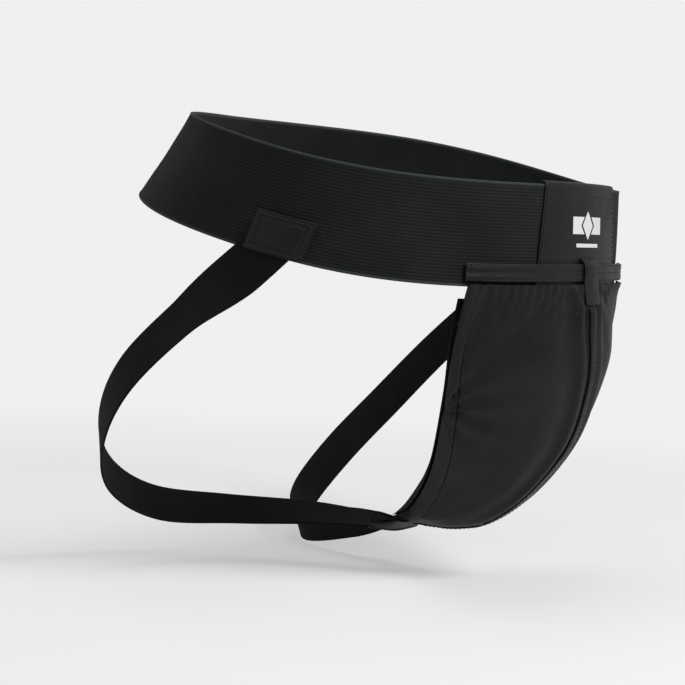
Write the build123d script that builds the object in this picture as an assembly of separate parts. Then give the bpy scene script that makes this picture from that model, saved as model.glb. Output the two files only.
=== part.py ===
from build123d import *
import os
from math import asin, cos, pi, radians, sin

# Groin protector: an elastic waistband, a leather pouch that holds a stiff cup, and two leg straps.
# Millimetres. +Z is up, the wearer's front is -Y and the wearer's right is -X.
# The origin is the middle of the waist opening.

# ---- waistband ----
WAIST_HALF_WIDTH = 199.0
WAIST_HALF_DEPTH = 124.0
RIM_RISE = (20.0, 1.6, -2.6)      # the top rim's height: once, twice and three times round
BAND_LEAN = (12.8, 19.4, 9.7)     # degrees the band flares: all round, towards the back, twice round
BAND_HEIGHT = 64.0
BAND_THICKNESS = 2.0
LAYER_GAP = 0.1                   # between two layers sewn together

# ---- front panel, folded over the band's top edge ----
LEATHER = 1.1
PANEL_HALF_WIDTH = 55.0
PANEL_INNER_DROP = 17.0

# ---- mark on the front panel ----
MARK_THICKNESS = 0.3
MARK_TOP = 16.0
MARK_HEIGHT = 18.0
MARK_HALF_WIDTH = 22.0
MARK_DIAMOND_HALF_WIDTH = 8.0
MARK_BAR_HALF_HEIGHT = 5.5
MARK_SPACE = 2.5
MARK_LINE_HALF_WIDTH = 17.0
MARK_LINE_HEIGHT = 2.4

# ---- pouch: the leg edge and the centre line, from the top to the lower tip ----
LEG_EDGE = [(-118, -99, -78), (-110, -90, -112), (-87, -76, -152),
            (-52, -52, -202), (-26, -27, -231), (-11, -6, -242)]
CENTRE_LINE = [(0, -131, -78), (0, -134, -105), (0, -135, -142),
               (0, -119, -192), (0, -70, -239), (0, -8, -247)]
POUCH_SHEET = 1.6
POUCH_TOP_DROP = BAND_HEIGHT - 1.5
POUCH_TOP_OFFSET = 3.7            # outer face of the pouch's top, out from the band's outer face
CARRIED_SHARE = 0.35              # how far down the band's own curve still shapes the pouch
BINDING_WIDTH = 11.0
BINDING_PROUD = 0.9
BINDING_INSIDE = 0.4
BINDING_SEAM = 0.008              # share of the section between binding and panel
CENTRE_SEAM = 0.002
TOP_BINDING = (49.5, 60.5)        # down from the band's top rim
TOP_BINDING_OUT = (1.35, 4.2)
TOP_BINDING_PAST = 2.0            # beyond the pouch's corners
STRIP_HALF_WIDTH = 4.0
STRIP_THICKNESS = 0.9
STRIP_GAP = 0.25
STRIP_SPAN = (0.12, 0.97)         # share of the way from the top to the tip
TAB_HALF_WIDTH = 11.0
TAB_GAP = 0.3
TAB_DOWN = (46.0, 48.5, 61.5)     # its top, where it climbs the top binding, where it leaves it
TAB_INSET = 0.5
TAB_ENDS = 0.1                    # share of the way down the pouch

# ---- pocket behind the cup ----
LINING_CENTRE = [(0, -113, -77), (0, -92, -118), (0, -66, -160),
                 (0, -35, -203), (0, -15, -230), (0, -3, -243)]
LINING = 0.8
LINING_SET_BACK = 1.6             # behind the leg edge
LINING_BOTTOM = 0.985
LINING_SEAM = 0.004
LINING_TOP = 0.06
LINING_ELASTIC_SHARE = 0.1

# ---- leg straps: from the band to the tip, with the way to the ribbon's upper edge ----
# Both are given as on the wearer's right. As worn, the left one hangs a little lower.
STRAP_WIDTH = 25.0
STRAP_THICKNESS = 1.6
STRAP_UNDER_PATCH = 8.0
STRAP_SLOPE = 52.0                # degrees below the band's edge, where the strap leaves it
STRAP_LEAVES = (0.05, 0.14)       # share of its length where it comes away from the band
STRAP_OUT = 1.1                   # middle of its thickness, out from the band's face, at its upper end
STRAP_ROUTE = {
    "right": [(-216, 32, -104), (-222, 70, -144), (-199, 102, -182), (-158, 123, -216),
              (-107, 121, -239), (-57, 93, -245), (-27, 45, -245), (-15, 8, -246.5)],
    "left": [(-213, 33, -100), (-209, 78, -144), (-185, 108, -187), (-143, 124, -224),
             (-94, 124, -254), (-45, 98, -266), (-23, 48, -257), (-15, 8, -247)],
}
STRAP_ACROSS = {
    "right": [(0.29, 0.70, 0.65), (0.40, 0.59, 0.70), (0.44, 0.46, 0.77), (0.43, 0.37, 0.82),
              (0.36, 0.42, 0.83), (0.54, 0.53, 0.66), (0.80, 0.40, 0.45), (0.93, 0.25, 0.20)],
    "left": [(0.02, 0.66, 0.75), (0.06, 0.77, 0.64), (0.21, 0.75, 0.63), (0.39, 0.60, 0.69),
             (0.42, 0.40, 0.81), (0.24, 0.20, 0.95), (0.45, 0.24, 0.86), (0.90, 0.25, 0.25)],
}

# ---- reinforcement where each strap meets the band ----
PATCH_MIDDLE = (96.0, 99.5)       # degrees round from the back: lower edge, upper edge
PATCH_HALF_ANGLE = 7.7
PATCH_HEIGHT = 25.0
PATCH_INSET = 0.5                 # up from the band's lower edge
PATCH_OUT = (1.95, 3.5)
FACING_THICKNESS = 1.2

# ---- tip patch, where the straps meet the pouch ----
TIP_LENGTH = 26.0
TIP_WIDTH = 40.0
TIP_LOWEST = -251.3
TIP_THICKNESS = 1.5
TIP_CORNER_RADIUS = 5.0

# ---- cup ----
CUP_TOP = (-113.0, -91.0)         # y, z of the rim plane at the cup's upper and lower ends
CUP_BOTTOM = (-38.0, -213.0)
CUP_HALF_HEIGHT = 63.0
CUP_HALF_WIDTH = 46.0
CUP_TAPER = 0.28
CUP_DEPTH = 44.0
CUP_WALL = 3.0
DOME_LEVELS = (0, 15, 30, 45, 60, 72, 82)    # degrees up the dome
DOME_ROUNDNESS = 0.8
OUTLINE_POINTS = 24
FLANGE_WIDTH = 5.0
FLANGE_THICKNESS = 3.0
CUSHION_WIDTH = 3.0               # past the flange's edge
CUSHION_LIP = 2.5                 # over each face of the flange
CUSHION_INSIDE = 0.6
VENT_LENGTH = 17.0
VENT_WIDTH = 5.0
VENT_COLUMNS = (-17, 0, 17)
VENT_ROWS = (-13, 14)
VENT_ENDS = (38, -36)             # one more above and below the rows

RIGHT = -1
LEFT = 1


def along(points, t):
    """Point at t, 0 to 1, on a smooth curve through evenly numbered points."""
    points = [Vector(*p) for p in points]
    place = min(max(t, 0.0), 1.0) * (len(points) - 1)
    n = min(int(place), len(points) - 2)
    f = place - n
    b, c = points[n], points[n + 1]
    a = points[n - 1] if n else b * 2 - c
    d = points[n + 2] if n + 2 < len(points) else c * 2 - b
    return (b * 2 + (c - a) * f + (a * 2 - b * 5 + c * 4 - d) * f**2
            + (b * 3 - a - c * 3 + d) * f**3) * 0.5


def mix(a, b, f):
    return a + (b - a) * f


def ease(f):
    f = min(max(f, 0.0), 1.0)
    return f * f * (3 - 2 * f)


def thick_sheet(surface, us, vs, low, high):
    """Closed solid between two offsets of a surface given by surface(u, v, out)."""
    faces = [Face.make_surface_from_array_of_points(
        [[surface(u, v, out) for v in vs] for u in us], tol=0.005) for out in (low, high)]
    sides = [Face.make_surface_from_curves(a, b) for a, b in zip(*(f.edges() for f in faces))]
    return Solid(Shell([*faces, *sides]))


def steps(a, b, count):
    return [mix(a, b, n / count) for n in range(count + 1)]


def row(middle, half, count):
    return steps(middle - half, middle + half, count)


# ---- waistband and what is sewn to it ----
def band_point(theta, down, out=0.0):
    """Point on the band: theta round from the back, down from its top rim, out from its face."""
    top = Vector(-WAIST_HALF_WIDTH * sin(theta), WAIST_HALF_DEPTH * cos(theta),
                 sum(rise * cos((n + 1) * theta) for n, rise in enumerate(RIM_RISE)))
    side = Vector(-sin(theta) / WAIST_HALF_WIDTH, cos(theta) / WAIST_HALF_DEPTH, 0).normalized()
    lean = radians(sum(angle * cos(n * theta) for n, angle in enumerate(BAND_LEAN)))
    fall = side * sin(lean) - Vector(0, 0, cos(lean))
    face = side * cos(lean) + Vector(0, 0, sin(lean))
    return top + fall * down + face * out


def front_angle(x):
    """Angle round the band of a point x to the wearer's left of the centre front."""
    return pi + asin(x / WAIST_HALF_WIDTH)


def band_patch(xs, downs, low, high):
    """Sheet on the band's front, in x across and down from the rim."""
    return thick_sheet(lambda x, d, out: band_point(front_angle(x), d, out), xs, downs, low, high)


def make_waistband():
    faces = []
    for start in (0.0, pi):
        turns = steps(start, start + pi, 36)
        halves = [Face.make_surface_from_array_of_points(
            [[band_point(a, d, out) for d in (0.0, BAND_HEIGHT)] for a in turns], tol=0.005)
            for out in (-BAND_THICKNESS, 0.0)]
        faces += halves
        for inner, outer in zip(*(f.edges() for f in halves)):
            if max(abs(inner.position_at(k).X) for k in (0, 0.5, 1)) > 1:
                faces.append(Face.make_surface_from_curves(inner, outer))
    return Solid(Shell(faces))


def make_front_panel():
    """Leather folded over the band's top edge: a hook-shaped section swept round the front."""
    near, far = LAYER_GAP, LAYER_GAP + LEATHER
    back = -BAND_THICKNESS
    sections = []
    for f in steps(-1, 1, 12):
        hook = [(BAND_HEIGHT, near), (BAND_HEIGHT, far), (-far, far), (-far, back - far),
                (PANEL_INNER_DROP, back - far), (PANEL_INNER_DROP, back - near),
                (-near, back - near), (-near, near)]
        angle = front_angle(f * PANEL_HALF_WIDTH)
        sections.append(Wire.make_polygon([band_point(angle, d, out) for d, out in hook]))
    return Solid.make_loft(sections, ruled=True)


def make_mark():
    """Generic mark: a diamond between two short bars, over a thin line."""
    low = LAYER_GAP * 2 + LEATHER
    high = low + MARK_THICKNESS
    middle = MARK_TOP + MARK_HEIGHT / 2

    def diamond(u, v, out):
        x = (u - v) * MARK_DIAMOND_HALF_WIDTH
        return band_point(front_angle(x), middle + (u + v - 1) * MARK_HEIGHT / 2, out)
    pieces = [thick_sheet(diamond, (0, 1), (0, 1), low, high)]
    for side in (RIGHT, LEFT):
        def bar(u, v, out, side=side):
            slant = abs(2 * v - 1) * MARK_BAR_HALF_HEIGHT / (MARK_HEIGHT / 2) * MARK_DIAMOND_HALF_WIDTH
            x = mix(MARK_DIAMOND_HALF_WIDTH + MARK_SPACE - slant, MARK_HALF_WIDTH, u)
            return band_point(front_angle(side * x), middle + (2 * v - 1) * MARK_BAR_HALF_HEIGHT, out)
        for v in ((0, 0.5), (0.5, 1)):
            pieces.append(thick_sheet(bar, steps(0, 1, 4), v, low, high))
    line = MARK_TOP + MARK_HEIGHT + MARK_SPACE
    pieces.append(band_patch(row(0, MARK_LINE_HALF_WIDTH, 6), (line, line + MARK_LINE_HEIGHT), low, high))
    return Compound(pieces)


def patch_point(side, u, v, out):
    """Point on the reinforcement: u across and v up, both 0 to 1."""
    middle = mix(PATCH_MIDDLE[0], PATCH_MIDDLE[1], v)
    angle = radians(middle + PATCH_HALF_ANGLE * (2 * u - 1))
    point = band_point(angle, BAND_HEIGHT - PATCH_INSET - PATCH_HEIGHT * v, out)
    return Vector(-side * point.X, point.Y, point.Z)


def make_patch(side, low, high):
    return thick_sheet(lambda u, v, out: patch_point(side, u, v, out),
                       steps(0, 1, 4), (0, 1), low, high)


# ---- pouch ----
def pouch_outer(s, v):
    """Outer face of the right half: s from the leg edge to the centre, v from top to tip."""
    edge, centre = along(LEG_EDGE, v), along(CENTRE_LINE, v)
    turn = s * pi / 2
    bulge = Vector(edge.X * cos(turn), mix(edge.Y, centre.Y, sin(turn)), mix(edge.Z, centre.Z, sin(turn)))
    top_edge, top_centre = along(LEG_EDGE, 0), along(CENTRE_LINE, 0)
    x = top_edge.X * (1 - s)
    top = band_point(front_angle(x), POUCH_TOP_DROP, POUCH_TOP_OFFSET)
    carried = top + (edge - top_edge) * (1 - s) + (centre - top_centre) * s
    return mix(carried, bulge, ease(v / CARRIED_SHARE))


def pouch_point(s, v, out=0.0):
    """Point on the pouch; s runs on past 1 to the left half, which mirrors the right."""
    half, step = (2 - s if s > 1 else s), 1e-3
    point = pouch_outer(half, v)
    if out:
        s0, s1 = max(half - step, 0), min(half + step, 1)
        v0, v1 = max(v - step, 0), min(v + step, 1)
        across = pouch_outer(s1, v) - pouch_outer(s0, v)
        if s1 == 1:
            across = Vector(1, 0, 0)
        down = pouch_outer(half, v1) - pouch_outer(half, v0)
        point += across.cross(down).normalized() * -out
    return Vector(-point.X, point.Y, point.Z) if s > 1 else point


def binding_share(v):
    """The s that the leg binding takes up at v, less where the pouch is narrow."""
    points = [pouch_outer(s, v) for s in steps(0, 1, 12)]
    section = sum((b - a).length for a, b in zip(points, points[1:]))
    return 1.15 * BINDING_WIDTH / (section + 2 * BINDING_WIDTH)


def strip_share(v):
    """The s on each side of the centre that the strip takes up at v."""
    half = -along(LEG_EDGE, v).X
    return mix(STRIP_HALF_WIDTH / half, asin(STRIP_HALF_WIDTH / half) * 2 / pi, ease(v / CARRIED_SHARE))


def mirrored(side, point):
    return Vector(-side * point.X, point.Y, point.Z)


def make_pouch_panel(side):
    """One side of the pouch, from the leg binding to the centre seam."""
    def surface(u, v, out):
        return mirrored(side, pouch_point(mix(binding_share(v) + BINDING_SEAM, 1 - CENTRE_SEAM, u), v, out))
    return thick_sheet(surface, steps(0, 1, 14), steps(0, 1, 20), -POUCH_SHEET, 0.0)


def make_leg_binding(side):
    def surface(u, v, out):
        return mirrored(side, pouch_point(u * binding_share(v), v, out))
    return thick_sheet(surface, steps(0, 1, 4), steps(0, 1, 20),
                       -POUCH_SHEET - BINDING_INSIDE, BINDING_PROUD)


def make_centre_strip():
    """Narrow tape over the centre seam, from under the tab to the tip."""
    def surface(u, v, out):
        return pouch_point(1 + u * strip_share(v), v, out)
    return thick_sheet(surface, steps(-1, 1, 4), steps(*STRIP_SPAN, 20),
                       STRIP_GAP, STRIP_GAP + STRIP_THICKNESS)


def make_top_binding():
    reach = -LEG_EDGE[0][0] + TOP_BINDING_PAST
    return band_patch(row(0, reach, 24), TOP_BINDING, *TOP_BINDING_OUT)


def make_centre_tab():
    """Small leather tab sewn over the middle of the top binding and the pouch's top."""
    plane_x = TAB_HALF_WIDTH
    over = TOP_BINDING_OUT[1] + TAB_GAP
    panel = LAYER_GAP + LEATHER + TAB_GAP

    def place(d, out):
        point = band_point(pi, d, out)
        return Vector(-plane_x, point.Y, point.Z)

    below = pouch_point(1, TAB_ENDS, TAB_GAP)
    top, climb, leave = TAB_DOWN
    lowest = Vector(-plane_x, below.Y, below.Z)
    outline = [place(top, panel), place(top, panel + LEATHER), place(climb, over + LEATHER),
               place(leave, over + LEATHER), lowest + Vector(0, -LEATHER, 0), lowest,
               place(leave - TAB_INSET, over), place(climb + TAB_INSET, over),
               place(climb, panel)]
    return extrude(Face(Wire.make_polygon(outline)), amount=2 * plane_x, dir=(1, 0, 0))


def make_tip_patch():
    """Leather patch under the pouch's tip, where both straps end."""
    with BuildPart() as patch:
        with BuildSketch(Plane.XY.offset(TIP_LOWEST)):
            RectangleRounded(TIP_WIDTH, TIP_LENGTH, TIP_CORNER_RADIUS)
        extrude(amount=TIP_THICKNESS)
    return patch.part


# ---- pocket ----
def lining_point(u, v, out=0.0):
    """Inner layer behind the cup: u from -1 at the right leg edge to 1 at the left."""
    edge, centre = along(LEG_EDGE, v), along(LINING_CENTRE, v)
    bow = 1 - u * u
    return Vector(-u * edge.X, mix(edge.Y + LINING_SET_BACK, centre.Y, bow) + out, mix(edge.Z, centre.Z, bow))


def make_lining(v0, v1):
    return thick_sheet(lining_point, steps(-1, 1, 16), steps(v0, v1, 12), 0.0, LINING)


# ---- straps ----
def ruled(a, b, c, d):
    """Four-sided face between the straight edges a to b and c to d."""
    return Face.make_surface_from_curves(Edge.make_line(a, b), Edge.make_line(c, d))


def ribbon(surface, ts, half):
    """Closed solid of ruled strips round a ribbon given by surface(t, u, out)."""
    rings = []
    for t in ts:
        inner = [surface(t, u, -half) for u in (-1, 0, 1)]
        outer = [surface(t, u, half) for u in (1, 0, -1)]
        rings.append(inner + outer)
    faces = []
    for near, far in zip(rings, rings[1:]):
        for k in range(len(near)):
            faces.append(ruled(near[k - 1], near[k], far[k - 1], far[k]))
    for ring in (rings[0], rings[-1]):
        for k in (0, 1):
            faces.append(ruled(ring[k], ring[k + 1], ring[5 - k], ring[4 - k]))
    return Solid(Shell(faces))


def strap_on_band(length, u, out):
    """Point on the strap's sewn end: length along it, u across from -1 to 1."""
    slope, half = radians(STRAP_SLOPE), STRAP_WIDTH / 2
    back = length * cos(slope) + u * half * sin(slope)
    down = BAND_HEIGHT - STRAP_UNDER_PATCH + length * sin(slope) - u * half * cos(slope)
    return band_point(radians(PATCH_MIDDLE[0]) - back / WAIST_HALF_DEPTH, down, STRAP_OUT + out)


def make_strap(side, name):
    """Flat elastic ribbon from under the patch, round the back of the leg, to the tip."""
    route = [strap_on_band(0, 0, 0), *STRAP_ROUTE[name]]
    across = [(strap_on_band(0, 1, 0) - strap_on_band(0, -1, 0)).normalized(), *STRAP_ACROSS[name]]
    first_run = (Vector(*route[1]) - route[0]).length * (len(route) - 1)

    def surface(t, u, out):
        way = (along(route, t + 0.01) - along(route, t - 0.01)).normalized()
        wide = along(across, t)
        wide = (wide - way * wide.dot(way)).normalized()
        free = along(route, t) + wide * (u * STRAP_WIDTH / 2) + wide.cross(way) * out
        sewn = strap_on_band(first_run * t, u, out)
        leaving = (t - STRAP_LEAVES[0]) / (STRAP_LEAVES[1] - STRAP_LEAVES[0])
        return mirrored(side, mix(sewn, free, ease(leaving)))
    return ribbon(surface, steps(0, 1, 44), STRAP_THICKNESS / 2)


# ---- cup ----
CUP_SLOPE = (Vector(0, *CUP_TOP) - Vector(0, *CUP_BOTTOM)).normalized()
CUP_OUT = Vector(1, 0, 0).cross(CUP_SLOPE)
CUP_MIDDLE = mix(Vector(0, *CUP_TOP), Vector(0, *CUP_BOTTOM), 0.5)


def cup_outline(depth, grow=0.0, scale=1.0):
    """Egg-shaped closed wire, wider above, parallel to the rim plane."""
    points = []
    for n in range(OUTLINE_POINTS):
        a = 2 * pi * n / OUTLINE_POINTS
        x = (CUP_HALF_WIDTH * scale + grow) * cos(a) * (1 + CUP_TAPER * sin(a))
        t = (CUP_HALF_HEIGHT * scale + grow) * sin(a)
        points.append(CUP_MIDDLE + Vector(1, 0, 0) * x + CUP_SLOPE * t + CUP_OUT * depth)
    return Wire(Edge.make_spline(points, periodic=True))


def cup_dome(grow, start):
    """Domed solid: egg-shaped sections that shrink towards the front."""
    wires = [cup_outline(start, grow)] if start else []
    for degrees_up in DOME_LEVELS:
        a = radians(degrees_up)
        wires.append(cup_outline((CUP_DEPTH + grow) * sin(a), grow * cos(a), cos(a) ** DOME_ROUNDNESS))
    return Solid.make_loft(wires)


def cup_ring(low, high, inside, outside):
    def slab(grow, a, b):
        return extrude(Face(cup_outline(a, grow)), amount=b - a, dir=tuple(CUP_OUT))
    return slab(outside, low, high) - slab(inside, low - 1, high + 1)


def make_cup_shell():
    shell = cup_dome(0.0, 0) - cup_dome(-CUP_WALL, -2.0)
    shell += cup_ring(0.0, FLANGE_THICKNESS, -CUP_WALL / 2, FLANGE_WIDTH)
    face = Plane(origin=tuple(CUP_MIDDLE), x_dir=(1, 0, 0), z_dir=tuple(CUP_OUT))
    spots = [(x, t) for x in VENT_COLUMNS for t in VENT_ROWS] + [(0, t) for t in VENT_ENDS]
    with BuildPart(face) as vents:
        with Locations(*spots):
            with BuildSketch():
                SlotOverall(VENT_LENGTH, VENT_WIDTH, rotation=90)
        extrude(amount=CUP_DEPTH + 10)
    return shell - vents.part


def make_cup_cushion():
    """Soft rim that grips the cup's flange."""
    low, high = -CUSHION_LIP, FLANGE_THICKNESS + CUSHION_LIP
    edge = FLANGE_WIDTH + CUSHION_WIDTH
    grip = cup_ring(0.0, FLANGE_THICKNESS, -CUP_WALL, FLANGE_WIDTH)
    return cup_ring(low, high, CUSHION_INSIDE, edge) - grip


def only_solid(shape):
    solids = shape.solids()
    return solids[0] if len(solids) == 1 else Compound(solids)


def main():
    inside = -BAND_THICKNESS - LAYER_GAP
    elastic = mix(LINING_TOP, 1.0, LINING_ELASTIC_SHARE)
    nodes = {
        "waistband_elastic": make_waistband(),
        "front_panel": make_front_panel(),
        "front_mark": make_mark(),
        "pouch_top_binding": make_top_binding(),
        "pouch_centre_tab": make_centre_tab(),
        "pouch_centre_strip": make_centre_strip(),
        "pouch_lining": make_lining(elastic, LINING_BOTTOM),
        "lining_top_elastic": make_lining(LINING_TOP, elastic - LINING_SEAM),
        "pouch_tip_patch": make_tip_patch(),
        "leg_strap_right": make_strap(RIGHT, "right"),
        "leg_strap_left": make_strap(LEFT, "left"),
        "cup_shell": make_cup_shell(),
        "cup_edge_cushion": make_cup_cushion(),
    }
    for side, name in ((RIGHT, "right"), (LEFT, "left")):
        nodes[f"pouch_panel_{name}"] = make_pouch_panel(side)
        nodes[f"leg_binding_{name}"] = make_leg_binding(side)
        nodes[f"strap_patch_{name}"] = make_patch(side, *PATCH_OUT)
        nodes[f"strap_facing_{name}"] = make_patch(side, inside - FACING_THICKNESS, inside)
    os.makedirs("parts", exist_ok=True)
    for name, shape in nodes.items():
        export_step(only_solid(shape), f"parts/{name}.step")
        print(name, round(shape.volume), shape.is_valid)


main()
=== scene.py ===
from functools import lru_cache
from math import asin, atan2, cos, exp, hypot, pi, radians, sin

import bmesh
import bpy
from mathutils import Matrix, Vector, noise


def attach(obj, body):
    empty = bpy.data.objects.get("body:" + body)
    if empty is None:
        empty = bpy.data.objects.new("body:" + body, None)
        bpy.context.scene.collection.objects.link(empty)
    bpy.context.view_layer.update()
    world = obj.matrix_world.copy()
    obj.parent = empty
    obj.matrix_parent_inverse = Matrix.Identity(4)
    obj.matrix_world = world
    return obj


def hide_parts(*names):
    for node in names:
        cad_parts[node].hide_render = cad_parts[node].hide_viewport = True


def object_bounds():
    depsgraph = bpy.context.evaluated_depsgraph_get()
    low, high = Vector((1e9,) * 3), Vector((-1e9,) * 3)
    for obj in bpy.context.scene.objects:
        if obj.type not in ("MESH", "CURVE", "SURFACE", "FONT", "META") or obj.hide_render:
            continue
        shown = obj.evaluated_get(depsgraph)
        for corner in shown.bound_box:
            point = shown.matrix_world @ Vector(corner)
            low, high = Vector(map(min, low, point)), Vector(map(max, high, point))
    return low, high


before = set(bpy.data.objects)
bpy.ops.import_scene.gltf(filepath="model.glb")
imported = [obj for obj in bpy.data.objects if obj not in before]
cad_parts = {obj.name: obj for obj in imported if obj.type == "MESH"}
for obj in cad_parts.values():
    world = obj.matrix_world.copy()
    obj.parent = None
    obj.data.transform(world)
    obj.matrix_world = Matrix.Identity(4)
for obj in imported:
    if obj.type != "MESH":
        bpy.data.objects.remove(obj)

CAD_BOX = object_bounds()

# Lengths are in millimetres up to the moment a mesh is written; Blender gets metres.
MM = 0.001
RIGHT = -1
LEFT = 1

# ---- waistband ----
WAIST_HALF_WIDTH = 199.0
WAIST_HALF_DEPTH = 124.0
RIM_RISE = (20.0, 1.6, -2.6)
BAND_LEAN = (12.8, 19.4, 9.7)
BAND_HEIGHT = 64.0
BAND_THICKNESS = 2.0
LAYER_GAP = 0.1
# Width of the band's rolled rims, and of the painted highlight along them.
SELVEDGE = 2.2
BAND_RIPPLE = 0.35
BAND_ROLL = 0.3

# ---- front panel ----
LEATHER = 1.1
PANEL_HALF_WIDTH = 55.0
PANEL_FLARE = 8.0
PANEL_INNER_DROP = 17.0
PANEL_SEAM_SIDE = 0.955
PANEL_SEAM_ENDS = (0.03, 0.76)
PANEL_SEAM_ROWS = (0.68, 0.22)

# ---- pouch ----
LEG_EDGE = [(-118, -99, -78), (-110, -90, -112), (-87, -76, -152),
            (-52, -52, -202), (-26, -27, -231), (-11, -6, -242)]
CENTRE_LINE = [(0, -131, -78), (0, -134, -105), (0, -135, -142),
               (0, -119, -192), (0, -70, -239), (0, -8, -247)]
POUCH_SHEET = 1.6
POUCH_TOP_DROP = BAND_HEIGHT - 1.5
POUCH_TOP_OFFSET = 3.7
CARRIED_SHARE = 0.35
BINDING_WIDTH = 11.0
BINDING_PROUD = 0.5
BINDING_INSIDE = 0.4
BINDING_CROWN = 0.75
BINDING_SEAM = 0.82
BINDING_SEAM_ENDS = (0.01, 0.97)
TOP_BINDING = (49.5, 60.5)
TOP_BINDING_OUT = (1.35, 3.4)
TOP_BINDING_PAST = 2.0
STRIP_HALF_WIDTH = 4.0
STRIP_OUT = (0.25, 1.0)
STRIP_SPAN = (0.12, 0.97)
STRIP_CROWN = 0.3
STRIP_SEAM = 0.75
TAB_HALF_WIDTH = 11.0
TAB_PATH = [(46.0, 1.6), (49.0, 4.4), (55.0, 5.0), (61.5, 4.6)]   # down, out
TAB_ENDS = 0.1
TAB_CROWN = 0.35
TAB_SEAM_HALF = 0.8
TAB_SEAM_ENDS = (0.08, 0.62)

# ---- gathers ----
NOTCH = 0.43                      # share of the way down the leg edge where the pouch is drawn in
NOTCH_SPOKES = 11
NOTCH_DEPTH = 2.8
NOTCH_REACH = 24.0
NOTCH_DENT = 1.6                  # how far the binding itself is drawn in there
CREST_FOLD = 1.8                  # the fold that runs down beside the centre strip
CREST_FOLD_AWAY = (11.0, 24.0)    # from the centre seam: along the pouch, and at the tab
TOP_PUCKER = 0.55
TOP_PUCKER_PITCH = 8.5
TAB_FOLD = 1.5
SLACK = 1.4

# ---- pocket ----
LINING_CENTRE = [(0, -113, -77), (0, -92, -118), (0, -66, -160),
                 (0, -35, -203), (0, -15, -230), (0, -3, -243)]
LINING = 0.8
LINING_SET_BACK = 1.6
LINING_SPAN = (0.155, 0.985)
LINING_ELASTIC_SPAN = (0.06, 0.15)
LINING_SAG = 0.8
LINING_GATHERS = 20
LINING_GATHER_DEPTH = 0.35
LINING_SEAM_HALF = 0.97
LINING_SEAM_ROWS = (0.075, 0.135)

# ---- straps ----
STRAP_WIDTH = 25.0
STRAP_THICKNESS = 1.6
STRAP_UNDER_PATCH = 8.0
STRAP_SLOPE = 52.0
STRAP_LEAVES = (0.05, 0.14)
STRAP_OUT = 1.1
STRAP_ROUTE = {
    "right": [(-216, 32, -104), (-222, 70, -144), (-199, 102, -182), (-158, 123, -216),
              (-107, 121, -239), (-57, 93, -245), (-27, 45, -245), (-15, 8, -246.5)],
    "left": [(-213, 33, -100), (-209, 78, -144), (-185, 108, -187), (-143, 124, -224),
             (-94, 124, -254), (-45, 98, -266), (-23, 48, -257), (-15, 8, -247)],
}
STRAP_ACROSS = {
    "right": [(0.29, 0.70, 0.65), (0.40, 0.59, 0.70), (0.44, 0.46, 0.77), (0.43, 0.37, 0.82),
              (0.36, 0.42, 0.83), (0.54, 0.53, 0.66), (0.80, 0.40, 0.45), (0.93, 0.25, 0.20)],
    "left": [(0.02, 0.66, 0.75), (0.06, 0.77, 0.64), (0.21, 0.75, 0.63), (0.39, 0.60, 0.69),
             (0.42, 0.40, 0.81), (0.24, 0.20, 0.95), (0.45, 0.24, 0.86), (0.90, 0.25, 0.25)],
}
PATCH_MIDDLE = (96.0, 99.5)
PATCH_HALF_ANGLE = 7.7
PATCH_HEIGHT = 25.0
PATCH_INSET = 0.5
PATCH_OUT = (1.95, 3.1)
PATCH_FIELD = 0.5
PATCH_LENGTH = 32.0
PATCH_BORDER = 3.6
PATCH_GROOVE_AT = 3.9
PATCH_GROOVE_WIDTH = 0.7
PATCH_GROOVE_DEPTH = 0.35
FACING_OUT = (-BAND_THICKNESS - LAYER_GAP - 1.2, -BAND_THICKNESS - LAYER_GAP)
TIP_SIZE = (40.0, 26.0)
TIP_LOWEST = -251.3
TIP_THICKNESS = 1.5

# ---- thread ----
STITCH_PITCH = 3.2
STITCH_LENGTH = 2.5
THREAD_RADIUS = 0.26
STITCH_RINGS = [(0.0, 0.35, -0.5), (0.18, 0.85, 0.2), (0.5, 1.0, 0.5), (0.82, 0.85, 0.2), (1.0, 0.35, -0.5)]
THREAD_SIDES = 6
RUN_SAMPLES = 60


# ---- curves and surfaces ----
def along(points, t):
    """Point at t, 0 to 1, on a smooth curve through evenly numbered points."""
    place = min(max(t, 0.0), 1.0) * (len(points) - 1)
    n = min(int(place), len(points) - 2)
    f = place - n
    b, c = Vector(points[n]), Vector(points[n + 1])
    a = Vector(points[n - 1]) if n else b * 2 - c
    d = Vector(points[n + 2]) if n + 2 < len(points) else c * 2 - b
    return (b * 2 + (c - a) * f + (a * 2 - b * 5 + c * 4 - d) * f**2
            + (b * 3 - a - c * 3 + d) * f**3) * 0.5


def mix(a, b, f):
    return a + (b - a) * f


def ease(f):
    f = min(max(f, 0.0), 1.0)
    return f * f * (3 - 2 * f)


def steps(a, b, count):
    return [mix(a, b, n / count) for n in range(count + 1)]


def mirrored(side, point):
    return Vector((-side * point.x, point.y, point.z))


def band_point(theta, down, out=0.0):
    """Point on the band: theta round from the back, down from its top rim, out from its face."""
    top = Vector((-WAIST_HALF_WIDTH * sin(theta), WAIST_HALF_DEPTH * cos(theta),
                  sum(rise * cos((n + 1) * theta) for n, rise in enumerate(RIM_RISE))))
    side = Vector((-sin(theta) / WAIST_HALF_WIDTH, cos(theta) / WAIST_HALF_DEPTH, 0)).normalized()
    lean = radians(sum(angle * cos(n * theta) for n, angle in enumerate(BAND_LEAN)))
    fall = side * sin(lean) - Vector((0, 0, cos(lean)))
    face = side * cos(lean) + Vector((0, 0, sin(lean)))
    return top + fall * down + face * out


def front_angle(x):
    return pi + asin(x / WAIST_HALF_WIDTH)


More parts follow.
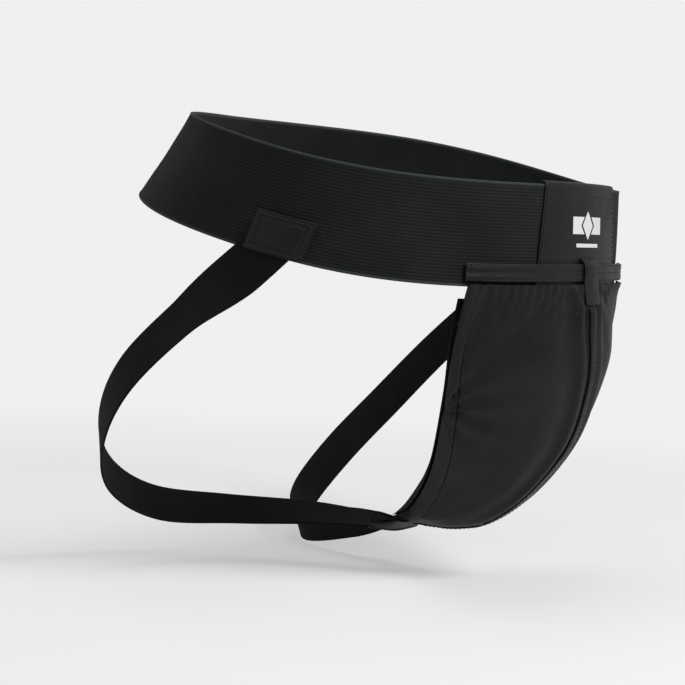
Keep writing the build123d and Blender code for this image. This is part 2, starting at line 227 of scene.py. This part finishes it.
def pouch_outer(s, v):
    """Outer face of the right half: s from the leg edge to the centre, v from top to tip."""
    edge, centre = along(LEG_EDGE, v), along(CENTRE_LINE, v)
    turn = s * pi / 2
    bulge = Vector((edge.x * cos(turn), mix(edge.y, centre.y, sin(turn)), mix(edge.z, centre.z, sin(turn))))
    top_edge, top_centre = Vector(LEG_EDGE[0]), Vector(CENTRE_LINE[0])
    top = band_point(front_angle(top_edge.x * (1 - s)), POUCH_TOP_DROP, POUCH_TOP_OFFSET)
    carried = top + (edge - top_edge) * (1 - s) + (centre - top_centre) * s
    return mix(carried, bulge, ease(v / CARRIED_SHARE))


@lru_cache(maxsize=None)
def section_length(v):
    points = [pouch_outer(s, v) for s in steps(0, 1, 12)]
    return sum((b - a).length for a, b in zip(points, points[1:]))


@lru_cache(maxsize=None)
def leg_edge_length(v):
    points = [along(LEG_EDGE, v * k) for k in steps(0, 1, 12)]
    return sum((b - a).length for a, b in zip(points, points[1:]))


def gathers(s, v):
    """How far the leather stands off its taut shape, where it is drawn in or slack."""
    across = s * section_length(v)
    down = leg_edge_length(v) - leg_edge_length(NOTCH)
    reach = hypot(across, down)
    spoke = sin(NOTCH_SPOKES * atan2(down, across + 3.0) + 0.6)
    notch = NOTCH_DEPTH * spoke * exp(-reach / NOTCH_REACH) * ease(across / 9.0)
    pucker = TOP_PUCKER * sin(2 * pi * across / TOP_PUCKER_PITCH) * exp(-v / 0.07)
    fan = TAB_FOLD * cos((1 - s) * 26.0 / (0.35 + v)) * exp(-v / 0.16) * exp(-(1 - s) * 4.0)
    place = Vector((across * 0.035, v * 5.0, 1.7))
    slack = SLACK * noise.noise(place) * ease(v / 0.15) * ease((1 - v) / 0.2)
    crease = 1.0 * noise.noise(Vector((across * 0.11, v * 14.0, 6.2))) * exp(-across / 45.0)
    dent = -NOTCH_DENT * exp(-(down / 5.0) ** 2) * exp(-across / 10.0)
    fold = (1 - s) * section_length(v) - mix(*CREST_FOLD_AWAY, exp(-v / 0.1))
    crest = CREST_FOLD * (exp(-(fold / 4.5) ** 2) - 0.6 * exp(-((fold - 10.0) / 6.5) ** 2))
    crest *= ease(v / 0.04) * ease((0.92 - v) / 0.3)
    return notch + dent + pucker + crest + fan * ease(v / 0.03) + slack + crease * ease(v / 0.1)


def pouch_point(s, v, out=0.0):
    """Point on the gathered pouch; s runs on past 1 to the left half, which mirrors the right."""
    half, step = (2 - s if s > 1 else s), 1e-3
    s0, s1 = max(half - step, 0), min(half + step, 1)
    v0, v1 = max(v - step, 0), min(v + step, 1)
    across = pouch_outer(s1, v) - pouch_outer(s0, v)
    if s1 == 1:
        across = Vector((1, 0, 0))
    down = pouch_outer(half, v1) - pouch_outer(half, v0)
    point = pouch_outer(half, v) - across.cross(down).normalized() * (out + gathers(half, v))
    return Vector((-point.x, point.y, point.z)) if s > 1 else point


def binding_share(v):
    return 1.15 * BINDING_WIDTH / (section_length(v) + 2 * BINDING_WIDTH)


def strip_share(v):
    half = -along(LEG_EDGE, v).x
    return mix(STRIP_HALF_WIDTH / half, asin(STRIP_HALF_WIDTH / half) * 2 / pi, ease(v / CARRIED_SHARE))


def hook_point(u, v, out=0.0):
    """Front panel: u across, v up the outside, over the band's top edge and down inside."""
    inner_radius = BAND_THICKNESS / 2 + LAYER_GAP
    turn_length = pi * inner_radius
    run = v * (BAND_HEIGHT + turn_length + PANEL_INNER_DROP)
    radius = inner_radius + out
    if run < BAND_HEIGHT:
        down, away = BAND_HEIGHT - run, LAYER_GAP + out
    elif run < BAND_HEIGHT + turn_length:
        angle = (run - BAND_HEIGHT) / inner_radius
        down, away = -sin(angle) * radius, cos(angle) * radius - BAND_THICKNESS / 2
    else:
        down, away = run - BAND_HEIGHT - turn_length, -BAND_THICKNESS / 2 - radius
    width = PANEL_HALF_WIDTH + PANEL_FLARE * max(down, 0) / BAND_HEIGHT
    return band_point(front_angle(u * width), down, away)


def lining_point(u, v, out=0.0):
    edge, centre = along(LEG_EDGE, v), along(LINING_CENTRE, v)
    bow = 1 - u * u
    back = mix(edge.y + LINING_SET_BACK, centre.y, bow) + out
    return Vector((-u * edge.x, back, mix(edge.z, centre.z, bow)))


def tab_point(u, v, out=0.0):
    """Centre tab: u across, v from its top over the binding to the pouch."""
    stops = [band_point(pi, down, away) for down, away in TAB_PATH]
    stops.append(pouch_point(1, TAB_ENDS, 0.3))
    point = along([tuple(stop) for stop in stops], v)
    bend = 0.9 * u * u
    return Vector((u * TAB_HALF_WIDTH, point.y - out + bend, point.z))


def tip_point(u, v, out=0.0):
    """Rounded patch under the tip, u and v from -1 to 1."""
    x = TIP_SIZE[0] / 2 * u * (1 - 0.16 * v**4)
    y = TIP_SIZE[1] / 2 * v * (1 - 0.16 * u**4)
    return Vector((x, y, TIP_LOWEST + TIP_THICKNESS - out))


def patch_surface(side):
    def surface(u, v, out=0.0):
        middle = mix(PATCH_MIDDLE[0], PATCH_MIDDLE[1], v)
        angle = radians(middle + PATCH_HALF_ANGLE * (2 * u - 1))
        return mirrored(side, band_point(angle, BAND_HEIGHT - PATCH_INSET - PATCH_HEIGHT * v, out))
    return surface


def strap_on_band(length, u, out):
    slope, half = radians(STRAP_SLOPE), STRAP_WIDTH / 2
    back = length * cos(slope) + u * half * sin(slope)
    down = BAND_HEIGHT - STRAP_UNDER_PATCH + length * sin(slope) - u * half * cos(slope)
    return band_point(radians(PATCH_MIDDLE[0]) - back / WAIST_HALF_DEPTH, down, STRAP_OUT + out)


def strap_surface(side, name):
    """Leg strap: t from the band to the tip, u across from -1 to 1."""
    route = [tuple(strap_on_band(0, 0, 0)), *STRAP_ROUTE[name]]
    across = [tuple((strap_on_band(0, 1, 0) - strap_on_band(0, -1, 0)).normalized()), *STRAP_ACROSS[name]]
    first_run = (Vector(route[1]) - Vector(route[0])).length * (len(route) - 1)

    def surface(t, u, out=0.0):
        way = (along(route, t + 0.01) - along(route, t - 0.01)).normalized()
        wide = along(across, t)
        wide = (wide - way * wide.dot(way)).normalized()
        free = along(route, t) + wide * (u * STRAP_WIDTH / 2) + wide.cross(way) * out
        sewn = strap_on_band(first_run * t, u, out)
        leaving = (t - STRAP_LEAVES[0]) / (STRAP_LEAVES[1] - STRAP_LEAVES[0])
        return mirrored(side, mix(sewn, free, ease(leaving)))
    return surface


# ---- materials ----
def blank_material(name, roughness, specular, sheen=0.0):
    material = bpy.data.materials.new(name)
    material.use_nodes = True
    shader = material.node_tree.nodes["Principled BSDF"]
    shader.inputs["Roughness"].default_value = roughness
    shader.inputs["Specular IOR Level"].default_value = specular
    shader.inputs["Sheen Weight"].default_value = sheen
    return material, material.node_tree, shader


def texture(tree, kind, place, **values):
    made = tree.nodes.new(kind)
    for key, value in values.items():
        made.inputs[key].default_value = value
    tree.links.new(place, made.inputs["Vector"])
    return made


def maths(tree, operation, *terms):
    made = tree.nodes.new("ShaderNodeMath")
    made.operation = operation
    for n, term in enumerate(terms):
        if isinstance(term, (int, float)):
            made.inputs[n].default_value = term
        else:
            tree.links.new(term, made.inputs[n])
    return made.outputs[0]


def span(tree, value, low, high, start=0.0, end=1.0):
    made = tree.nodes.new("ShaderNodeMapRange")
    for key, number in (("From Min", low), ("From Max", high), ("To Min", start), ("To Max", end)):
        made.inputs[key].default_value = number
    tree.links.new(value, made.inputs["Value"])
    return made.outputs[0]


def blend_colours(tree, factor, dark, pale):
    made = tree.nodes.new("ShaderNodeMix")
    made.data_type = "RGBA"
    tree.links.new(factor, made.inputs[0])
    for slot, colour in ((6, dark), (7, pale)):
        if isinstance(colour, tuple):
            made.inputs[slot].default_value = (*colour, 1.0)
        else:
            tree.links.new(colour, made.inputs[slot])
    return made.outputs[2]


def bump(tree, shader, height, depth, strength=0.8):
    made = tree.nodes.new("ShaderNodeBump")
    made.inputs["Distance"].default_value = depth * MM
    made.inputs["Strength"].default_value = strength
    tree.links.new(height, made.inputs["Height"])
    tree.links.new(made.outputs["Normal"], shader.inputs["Normal"])


def leather(name, dark, pale, grain, roughness):
    """Grained leather: cells with soft creases, a wandering sheen and paler worn ridges."""
    material, tree, shader = blank_material(name, roughness, 0.24)
    place = tree.nodes.new("ShaderNodeTexCoord").outputs["Object"]
    cells = texture(tree, "ShaderNodeTexVoronoi", place, Scale=1 / (grain * MM))
    cells.feature = "DISTANCE_TO_EDGE"
    pores = texture(tree, "ShaderNodeTexNoise", place, Scale=2.4 / (grain * MM), Detail=3.0)
    cloud = texture(tree, "ShaderNodeTexNoise", place, Scale=45.0, Detail=5.0)
    pebble = span(tree, cells.outputs["Distance"], 0.0, 0.16)
    height = maths(tree, "MULTIPLY_ADD", pores.outputs["Fac"], 0.35, pebble)
    bump(tree, shader, height, 0.09, 0.7)
    worn = span(tree, tree.nodes.new("ShaderNodeNewGeometry").outputs["Pointiness"], 0.5, 0.56)
    wear = maths(tree, "MULTIPLY", worn, cloud.outputs["Fac"])
    tint = maths(tree, "MULTIPLY_ADD", pebble, 0.25, span(tree, cloud.outputs["Fac"], 0.3, 0.75, 0.1, 0.4))
    colour = blend_colours(tree, maths(tree, "ADD", tint, wear), dark, pale)
    tree.links.new(colour, shader.inputs["Base Color"])
    rough = span(tree, cloud.outputs["Fac"], 0.3, 0.7, roughness - 0.08, roughness + 0.1)
    tree.links.new(rough, shader.inputs["Roughness"])
    return material


def elastic(name, dark, pale, rib, pick, edge=None):
    """Woven elastic: ribs along the ribbon crossed by fine weft, on real lengths in the UV map; with edge, a
    painted highlight along both rims.
    """
    material, tree, shader = blank_material(name, 0.85, 0.1, 0.04)
    coordinates = tree.nodes.new("ShaderNodeTexCoord")
    parts = tree.nodes.new("ShaderNodeSeparateXYZ")
    tree.links.new(coordinates.outputs["UV"], parts.inputs[0])
    length, width = parts.outputs["X"], parts.outputs["Y"]
    ribs = maths(tree, "ABSOLUTE", maths(tree, "SINE", maths(tree, "MULTIPLY", width, pi / (rib * MM))))
    weft = maths(tree, "SINE", maths(tree, "MULTIPLY", length, 2 * pi / (pick * MM)))
    height = maths(tree, "MULTIPLY_ADD", weft, 0.3, ribs)
    fuzz = texture(tree, "ShaderNodeTexNoise", coordinates.outputs["Object"], Scale=2200.0, Detail=2.0)
    cloud = texture(tree, "ShaderNodeTexNoise", coordinates.outputs["Object"], Scale=30.0, Detail=4.0)
    bump(tree, shader, maths(tree, "MULTIPLY_ADD", fuzz.outputs["Fac"], 0.5, height), 0.28)
    wear = (cloud.outputs["Fac"], 0.3, 0.7, 0.6, 1.1)
    shade = maths(tree, "MULTIPLY", span(tree, height, -0.3, 1.3), span(tree, *wear))
    colour = blend_colours(tree, shade, dark, pale)
    # Painted highlight: a paler line along both rims of the band, where light catches the rolled edge,
    # painted into the colour.
    if edge:
        middle = maths(tree, "ABSOLUTE", maths(tree, "SUBTRACT", width, BAND_HEIGHT / 2 * MM))
        rim_highlight_mask = span(tree, middle, (BAND_HEIGHT / 2 - SELVEDGE) * MM, (BAND_HEIGHT / 2 - 0.8) * MM)
        colour = blend_colours(tree, rim_highlight_mask, colour, edge)
    tree.links.new(colour, shader.inputs["Base Color"])
    return material


def moulded(name, dark, pale, roughness, texture_size):
    """Moulded plastic or rubber with a fine spark-eroded surface."""
    material, tree, shader = blank_material(name, roughness, 0.45)
    place = tree.nodes.new("ShaderNodeTexCoord").outputs["Object"]
    fine = texture(tree, "ShaderNodeTexNoise", place, Scale=1 / (texture_size * MM), Detail=2.0)
    cloud = texture(tree, "ShaderNodeTexNoise", place, Scale=35.0, Detail=5.0)
    bump(tree, shader, fine.outputs["Fac"], 0.05, 0.5)
    tree.links.new(blend_colours(tree, cloud.outputs["Fac"], dark, pale), shader.inputs["Base Color"])
    rough = span(tree, cloud.outputs["Fac"], 0.3, 0.7, roughness - 0.06, roughness + 0.08)
    tree.links.new(rough, shader.inputs["Roughness"])
    return material


MATERIALS = {
    # The waistband's last colour, its edge, is a painted highlight along both rims.
    "band_elastic": elastic("band_elastic", (0.003, 0.0036, 0.0036), (0.02, 0.0225, 0.022), 2.0, 1.3,
                            (0.045, 0.05, 0.05)),
    "strap_elastic": elastic("strap_elastic", (0.002, 0.002, 0.0026), (0.012, 0.0115, 0.0145), 1.5, 1.0),
    "lining_fabric": elastic("lining_fabric", (0.004, 0.004, 0.0045), (0.017, 0.017, 0.019), 0.9, 0.9),
    "leather": leather("leather", (0.0022, 0.0027, 0.003), (0.0085, 0.0098, 0.0105), 1.1, 0.33),
    "leather_trim": leather("leather_trim", (0.0026, 0.0032, 0.0035), (0.0105, 0.012, 0.0128), 0.9, 0.32),
    "cup_plastic": moulded("cup_plastic", (0.014, 0.0145, 0.016), (0.026, 0.027, 0.029), 0.4, 0.5),
    "cup_rubber": moulded("cup_rubber", (0.007, 0.007, 0.008), (0.014, 0.014, 0.0155), 0.7, 0.7),
    "mark_print": moulded("mark_print", (0.68, 0.69, 0.7), (0.86, 0.87, 0.87), 0.5, 0.6),
}
THREAD = moulded("thread", (0.008, 0.0085, 0.009), (0.024, 0.0255, 0.0265), 0.6, 0.25)


# ---- pieces ----
def add_piece(name, mesh, material, body="garment", nodes=()):
    obj = bpy.data.objects.new(name, mesh)
    bpy.context.scene.collection.objects.link(obj)
    mesh.materials.append(material)
    mesh.polygons.foreach_set("use_smooth", [True] * len(mesh.polygons))
    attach(obj, body)
    if nodes:
        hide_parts(*nodes)
    return obj


def lengths_along(points):
    total, found = 0.0, [0.0]
    for a, b in zip(points, points[1:]):
        total += (b - a).length
        found.append(total * MM)
    return found


def longest(lines):
    return max(lengths_along(line)[-1] for line in lines)


def skin(name, slot, surface, us, vs, low, high, crown=None, closed=False):
    """Sheet of real thickness over a surface, with its lengths as the UV map; stands for its node.
    Gives the piece and its cut: the flat width and length in metres, and the flat area."""
    rows, cols = len(us), len(vs)
    layers = ([], [])
    for u in us:
        for v in vs:
            point = surface(u, v, 0.0)
            way = surface(u, v, 1.0) - point
            layers[0].append(point + way * (high + (crown(u, v) if crown else 0.0)))
            layers[1].append(point + way * low)
    spans = rows if closed else rows - 1
    corners = []
    for i in range(spans):
        for j in range(cols - 1):
            quad = [(i, j), (i + 1, j), (i + 1, j + 1), (i, j + 1)]
            corners.append([(a, b, 0) for a, b in quad])
            corners.append([(a, b, 1) for a, b in reversed(quad)])
        for j in (0, cols - 1):
            corners.append([(i, j, 0), (i, j, 1), (i + 1, j, 1), (i + 1, j, 0)])
    for i in () if closed else (0, rows - 1):
        for j in range(cols - 1):
            corners.append([(i, j, 0), (i, j + 1, 0), (i, j + 1, 1), (i, j, 1)])
    middle_row = [layers[0][i % rows * cols + cols // 2] for i in range(spans + 1)]
    middle_col = [layers[0][rows // 2 * cols + j] for j in range(cols)]
    along_u, along_v = lengths_along(middle_row), lengths_along(middle_col)
    mesh = bpy.data.meshes.new(name)
    verts = [point * MM for layer in layers for point in layer]
    mesh.from_pydata(verts, [], [[layer * rows * cols + i % rows * cols + j for i, j, layer in face]
                                 for face in corners])
    places = mesh.uv_layers.new(name="lengths").data
    for face, polygon in zip(corners, mesh.polygons):
        for (i, j, _), loop in zip(face, polygon.loop_indices):
            places[loop].uv = (along_u[i], along_v[j])
    area = sum(p.area for p, face in zip(mesh.polygons, corners) if all(c[2] == 0 for c in face))
    work = bmesh.new()
    work.from_mesh(mesh)
    bmesh.ops.recalc_face_normals(work, faces=work.faces)
    work.to_mesh(mesh)
    work.free()
    obj = add_piece(f"{name}_soft", mesh, MATERIALS[slot], nodes=(name,))
    round_edges = obj.modifiers.new("edges", "BEVEL")
    round_edges.width = 0.3 * (high - low) * MM
    round_edges.segments = 2
    round_edges.limit_method = "ANGLE"
    round_edges.angle_limit = radians(50)
    columns = [[layers[0][i * cols + j] for j in range(cols)] for i in range(rows)]
    lines = [[layers[0][i % rows * cols + j] for i in range(spans + 1)] for j in range(cols)]
    flat = sorted((longest(lines), longest(columns)))
    return obj, flat, min(area, flat[0] * flat[1])


def sheet(*skin_terms, trim=(), **skin_choices):
    """A skin of which only the piece is kept, not its cut. The trim argument is not used."""
    obj, flat, area = skin(*skin_terms, **skin_choices)
    return obj


def add_stitch(verts, faces, start, end, up):
    """One stitch: a short thread that dips into the material at both ends."""
    way = (end - start).normalized()
    side = way.cross(up).normalized()
    first = len(verts)
    for f, size, lift in STITCH_RINGS:
        centre = mix(start, end, f) + up * (lift * THREAD_RADIUS)
        for k in range(THREAD_SIDES):
            a = 2 * pi * k / THREAD_SIDES
            verts.append((centre + (side * cos(a) + up * sin(a)) * (THREAD_RADIUS * size)) * MM)
    for ring in range(len(STITCH_RINGS) - 1):
        for k in range(THREAD_SIDES):
            a, b = first + ring * THREAD_SIDES + k, first + ring * THREAD_SIDES + (k + 1) % THREAD_SIDES
            faces.append((a, b, b + THREAD_SIDES, a + THREAD_SIDES))
    last = first + (len(STITCH_RINGS) - 1) * THREAD_SIDES
    faces.append(tuple(range(first, first + THREAD_SIDES))[::-1])
    faces.append(tuple(range(last, last + THREAD_SIDES)))


def stitching(name, runs):
    """Thread along runs of (surface, corners in u and v, height out)."""
    verts, faces = [], []
    for surface, corners, out in runs:
        samples = []
        for (u0, v0), (u1, v1) in zip(corners, corners[1:]):
            for f in steps(0, 1, RUN_SAMPLES):
                u, v = mix(u0, u1, f), mix(v0, v1, f)
                point = surface(u, v, out)
                samples.append((point, (surface(u, v, out + 1) - point).normalized()))
        reached, next_start, begun = 0.0, 0.0, None
        for (a, _), (b, up) in zip(samples, samples[1:]):
            gap = (b - a).length
            while gap and begun is None and reached + gap >= next_start:
                begun = mix(a, b, (next_start - reached) / gap)
            while gap and begun is not None and reached + gap >= next_start + STITCH_LENGTH:
                end = mix(a, b, (next_start + STITCH_LENGTH - reached) / gap)
                if (end - begun).length > THREAD_RADIUS * 2:
                    add_stitch(verts, faces, begun, end, up)
                next_start += STITCH_PITCH
                begun = mix(a, b, (next_start - reached) / gap) if reached + gap >= next_start else None
            reached += gap
    mesh = bpy.data.meshes.new(name)
    mesh.from_pydata(verts, [], faces)
    work = bmesh.new()
    work.from_mesh(mesh)
    bmesh.ops.recalc_face_normals(work, faces=work.faces)
    work.to_mesh(mesh)
    work.free()
    return add_piece(name, mesh, THREAD)


def box_run(inset_u, inset_v, low=0.0, high=1.0):
    """Corners of a closed rectangle, inset from the edges of a patch."""
    u0, u1, v0, v1 = low + inset_u, high - inset_u, low + inset_v, high - inset_v
    return [(u0, v0), (u1, v0), (u1, v1), (u0, v1), (u0, v0)]


def make_band():
    def surface(u, v, out=0.0):
        theta = 2 * pi * u
        ripple = BAND_RIPPLE * noise.noise(Vector((cos(theta) * 3, sin(theta) * 3, v * 0.05)))
        return band_point(theta, v, out + ripple - BAND_RIPPLE)

    def rolled(u, v):
        return BAND_ROLL * (1 - ease(min(v, BAND_HEIGHT - v) / SELVEDGE))
    sheet("waistband_elastic", "band_elastic", surface, steps(0, 1, 420)[:-1], steps(0, BAND_HEIGHT, 32),
         -BAND_THICKNESS + 0.4, 0.0, rolled, closed=True)


def make_front_panel():
    sheet("front_panel", "leather", hook_point, steps(-1, 1, 44), steps(0, 1, 90), 0.0, LEATHER)
    side = PANEL_SEAM_SIDE
    runs = [(hook_point, [(s * side, v) for v in PANEL_SEAM_ENDS], LEATHER) for s in (-1, 1)]
    runs += [(hook_point, [(-side, v), (side, v)], LEATHER) for v in PANEL_SEAM_ROWS]
    stitching("stitching_front_panel", runs)


def make_pouch():
    strip = make_centre_strip()
    for side, name in ((RIGHT, "right"), (LEFT, "left")):
        def panel(u, v, out=0.0, side=side):
            return mirrored(side, pouch_point(mix(binding_share(v) + 0.004, 0.998, u), v, out))

        def binding(u, v, out=0.0, side=side):
            return mirrored(side, pouch_point(u * binding_share(v), v, out))

        def rounded(u, v):
            return BINDING_CROWN * (1 - abs(2 * u - 1) ** 3)
        edge = skin(f"leg_binding_{name}", "leather_trim", binding, steps(0, 1, 12), steps(0, 1, 110),
                    -POUCH_SHEET - BINDING_INSIDE, BINDING_PROUD, rounded)[0]
        sheet(f"pouch_panel_{name}", "leather", panel, steps(0, 1, 56), steps(0, 1, 80), -POUCH_SHEET, 0.0,
              trim=[edge, strip] if side == RIGHT else [edge])
        stitching(f"stitching_leg_binding_{name}",
                  [(binding, [(BINDING_SEAM, v) for v in BINDING_SEAM_ENDS], BINDING_PROUD + 0.45)])


def make_centre_strip():
    def surface(u, v, out=0.0):
        return pouch_point(1 + u * strip_share(v), v, out)
    stitching("stitching_centre_strip",
              [(surface, [(u, STRIP_SPAN[0] + 0.01), (u, STRIP_SPAN[1] - 0.02)], STRIP_OUT[1] + 0.08)
               for u in (-STRIP_SEAM, STRIP_SEAM)])
    return skin("pouch_centre_strip", "leather_trim", surface, steps(-1, 1, 10), steps(*STRIP_SPAN, 90),
                *STRIP_OUT, lambda u, v: STRIP_CROWN * (1 - u * u))[0]


def make_top_binding():
    reach = -LEG_EDGE[0][0] + TOP_BINDING_PAST

    def surface(u, v, out=0.0):
        return band_point(front_angle(u * reach), mix(*TOP_BINDING, v), out)

    def ridges(u, v):
        return 0.5 * sin(2 * pi * v) ** 2 + 0.1 * sin(2 * pi * u * reach / STITCH_PITCH) - 1.2 * abs(u) ** 14
    sheet("pouch_top_binding", "leather_trim", surface, steps(-1, 1, 150), steps(0, 1, 16),
         *TOP_BINDING_OUT, ridges)
    stitching("stitching_top_binding",
              [(surface, [(-0.985, v), (0.985, v)], TOP_BINDING_OUT[1] + lift)
               for v, lift in ((0.07, 0.15), (0.5, 0.05), (0.93, 0.15))])


def make_centre_tab():
    sheet("pouch_centre_tab", "leather_trim", tab_point, steps(-1, 1, 16), steps(0, 1, 30), 0.0, LEATHER,
         lambda u, v: TAB_CROWN * sin(pi * v) * (1 - u * u))
    side, (top, low) = TAB_SEAM_HALF, TAB_SEAM_ENDS
    box = [(-side, top), (side, top), (side, low), (-side, low), (-side, top)]
    stitching("stitching_centre_tab", [(tab_point, box, LEATHER + 0.15)])


def make_lining():
    def knit(u, v, out=0.0):
        sag = LINING_SAG * noise.noise(Vector((u * 3.0, v * 6.0, 3.3))) * (1 - u * u)
        return lining_point(u, v, out + sag)

    def gathered(u, v, out=0.0):
        wave = LINING_GATHER_DEPTH * sin(2 * pi * u * LINING_GATHERS) * (1 - u**4)
        return lining_point(u, v, out + wave)
    sheet("pouch_lining", "lining_fabric", knit, steps(-1, 1, 60), steps(*LINING_SPAN, 60),
         0.0, LINING)
    sheet("lining_top_elastic", "strap_elastic", gathered, steps(-1, 1, 160),
         steps(*LINING_ELASTIC_SPAN, 10), 0.0, LINING)
    side = LINING_SEAM_HALF
    stitching("stitching_lining",
              [(lining_point, [(-side, v), (side, v)], LINING + 0.2) for v in LINING_SEAM_ROWS])


def make_tip_patch():
    face = TIP_THICKNESS - 0.2
    sheet("pouch_tip_patch", "leather_trim", tip_point, steps(-1, 1, 28), steps(-1, 1, 20), 0.0, face)
    stitching("stitching_tip", [(tip_point, box_run(0.28, 0.3, -1.0, 1.0), face)])


def make_straps():
    for side, name in ((RIGHT, "right"), (LEFT, "left")):
        surface = strap_surface(side, name)
        sheet(f"leg_strap_{name}", "strap_elastic", surface, steps(0, 1, 200), steps(-1, 1, 12),
             -STRAP_THICKNESS / 2, STRAP_THICKNESS / 2 - 0.15, lambda t, u: 0.15 * abs(u) ** 6)
        patch = patch_surface(side)

        def field(u, v):
            inside = min(min(u, 1 - u) * PATCH_LENGTH, min(v, 1 - v) * PATCH_HEIGHT)
            groove = -PATCH_GROOVE_DEPTH * exp(-((inside - PATCH_GROOVE_AT) / PATCH_GROOVE_WIDTH) ** 2)
            return PATCH_FIELD * ease((inside - PATCH_BORDER) / 1.6) + groove
        sheet(f"strap_patch_{name}", "leather_trim", patch, steps(0, 1, 48), steps(0, 1, 40),
              *PATCH_OUT, field)
        sheet(f"strap_facing_{name}", "leather_trim", patch, steps(0, 1, 24), steps(0, 1, 20), *FACING_OUT)
        stitching(f"stitching_patch_{name}",
                  [(patch, box_run(0.06, 0.08), PATCH_OUT[1] + 0.1),
                   (patch, box_run(0.06, 0.08), FACING_OUT[0] - 0.1)])


# ---- studio ----
STUDIO_LIGHT = 0.42               # soft light all round, dimmer than the backdrop itself
CAMERA_AZIMUTH = radians(-62.764)
CAMERA_ELEVATION = radians(-1.235)
CAMERA_ROLL = radians(3.557)
CAMERA_DISTANCE = 1.4
CAMERA_AIM = (-0.0351, -0.0904)   # right and up of the line to the waist's middle
CAMERA_LENS = 109.8


def camera_axes():
    """Way to the camera, and the picture's right and up."""
    flat = cos(CAMERA_ELEVATION)
    back = Vector((sin(CAMERA_AZIMUTH) * flat, -cos(CAMERA_AZIMUTH) * flat, sin(CAMERA_ELEVATION)))
    right = Vector((cos(CAMERA_AZIMUTH), sin(CAMERA_AZIMUTH), 0))
    up = back.cross(right)
    return (back, right * cos(CAMERA_ROLL) + up * sin(CAMERA_ROLL),
            up * cos(CAMERA_ROLL) - right * sin(CAMERA_ROLL))


def make_camera():
    back, right, up = camera_axes()
    behind = (back - right * CAMERA_AIM[0] - up * CAMERA_AIM[1]).normalized()
    across = (right - behind * right.dot(behind)).normalized()
    turn = Matrix((across, behind.cross(across), behind)).transposed().to_4x4()
    turn.translation = back * CAMERA_DISTANCE
    camera = bpy.data.objects.new("camera", bpy.data.cameras.new("camera"))
    camera.data.lens = CAMERA_LENS
    camera.data.sensor_width = 36.0
    camera.matrix_world = turn
    bpy.context.scene.collection.objects.link(camera)
    bpy.context.scene.camera = camera


def make_light(name, place, energy, size):
    light = bpy.data.lights.new(name, "AREA")
    light.energy = energy
    light.size = size
    obj = bpy.data.objects.new(name, light)
    obj.location = place
    obj.rotation_euler = (Vector((0, 0, -0.12)) - place).to_track_quat("-Z", "Y").to_euler()
    bpy.context.scene.collection.objects.link(obj)


def floor_material():
    """Pale floor that fades out into the studio's own pale backdrop, away from the object."""
    material, tree, shader = blank_material("floor", 0.9, 0.1)
    shader.inputs["Base Color"].default_value = (0.9, 0.9, 0.9, 1.0)
    place = tree.nodes.new("ShaderNodeTexCoord").outputs["Object"]
    far = tree.nodes.new("ShaderNodeVectorMath")
    far.operation = "LENGTH"
    tree.links.new(place, far.inputs[0])
    shown = span(tree, far.outputs["Value"], 0.33, 1.0, 0.55, 0.0)
    tree.links.new(shown, shader.inputs["Alpha"])
    return material


def make_studio():
    back, right, up = camera_axes()
    make_light("key", back * 0.7 + right * 1.1 + up * 0.9, 18.0, 0.45)
    make_light("fill", back * 1.2 - right * 1.2 + up * 0.5, 2.5, 1.2)
    make_light("top", Vector((0.0, 0.2, 1.6)), 6.0, 1.0)
    world = bpy.data.worlds.new("studio")
    world.use_nodes = True
    background = world.node_tree.nodes["Background"]
    background.inputs["Color"].default_value = (0.87, 0.87, 0.87, 1.0)
    backdrop = world.node_tree.nodes.new("ShaderNodeLightPath").outputs["Is Camera Ray"]
    strength = span(world.node_tree, backdrop, 0.0, 1.0, STUDIO_LIGHT, 1.0)
    world.node_tree.links.new(strength, background.inputs["Strength"])
    bpy.context.scene.world = world
    bpy.context.scene.view_settings.view_transform = "Standard"
    mesh = bpy.data.meshes.new("floor")
    low, half = CAD_BOX[0][2] - 0.002, 1.2
    mesh.from_pydata([(-half, -half, low), (half, -half, low), (half, half, low), (-half, half, low)], [],
                     [(0, 1, 2, 3)])
    floor = bpy.data.objects.new("floor", mesh)
    bpy.context.scene.collection.objects.link(floor)
    mesh.materials.append(floor_material())


def dress_cad_nodes():
    """The stiff pieces keep their CAD shape and get their material."""
    for node, slot in (("cup_shell", "cup_plastic"), ("cup_edge_cushion", "cup_rubber"),
                       ("front_mark", "mark_print")):
        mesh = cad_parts[node].data
        mesh.materials.clear()
        mesh.materials.append(MATERIALS[slot])


make_camera()
make_studio()
make_band()
make_front_panel()
make_pouch()
make_top_binding()
make_centre_tab()
make_lining()
make_tip_patch()
make_straps()
dress_cad_nodes()
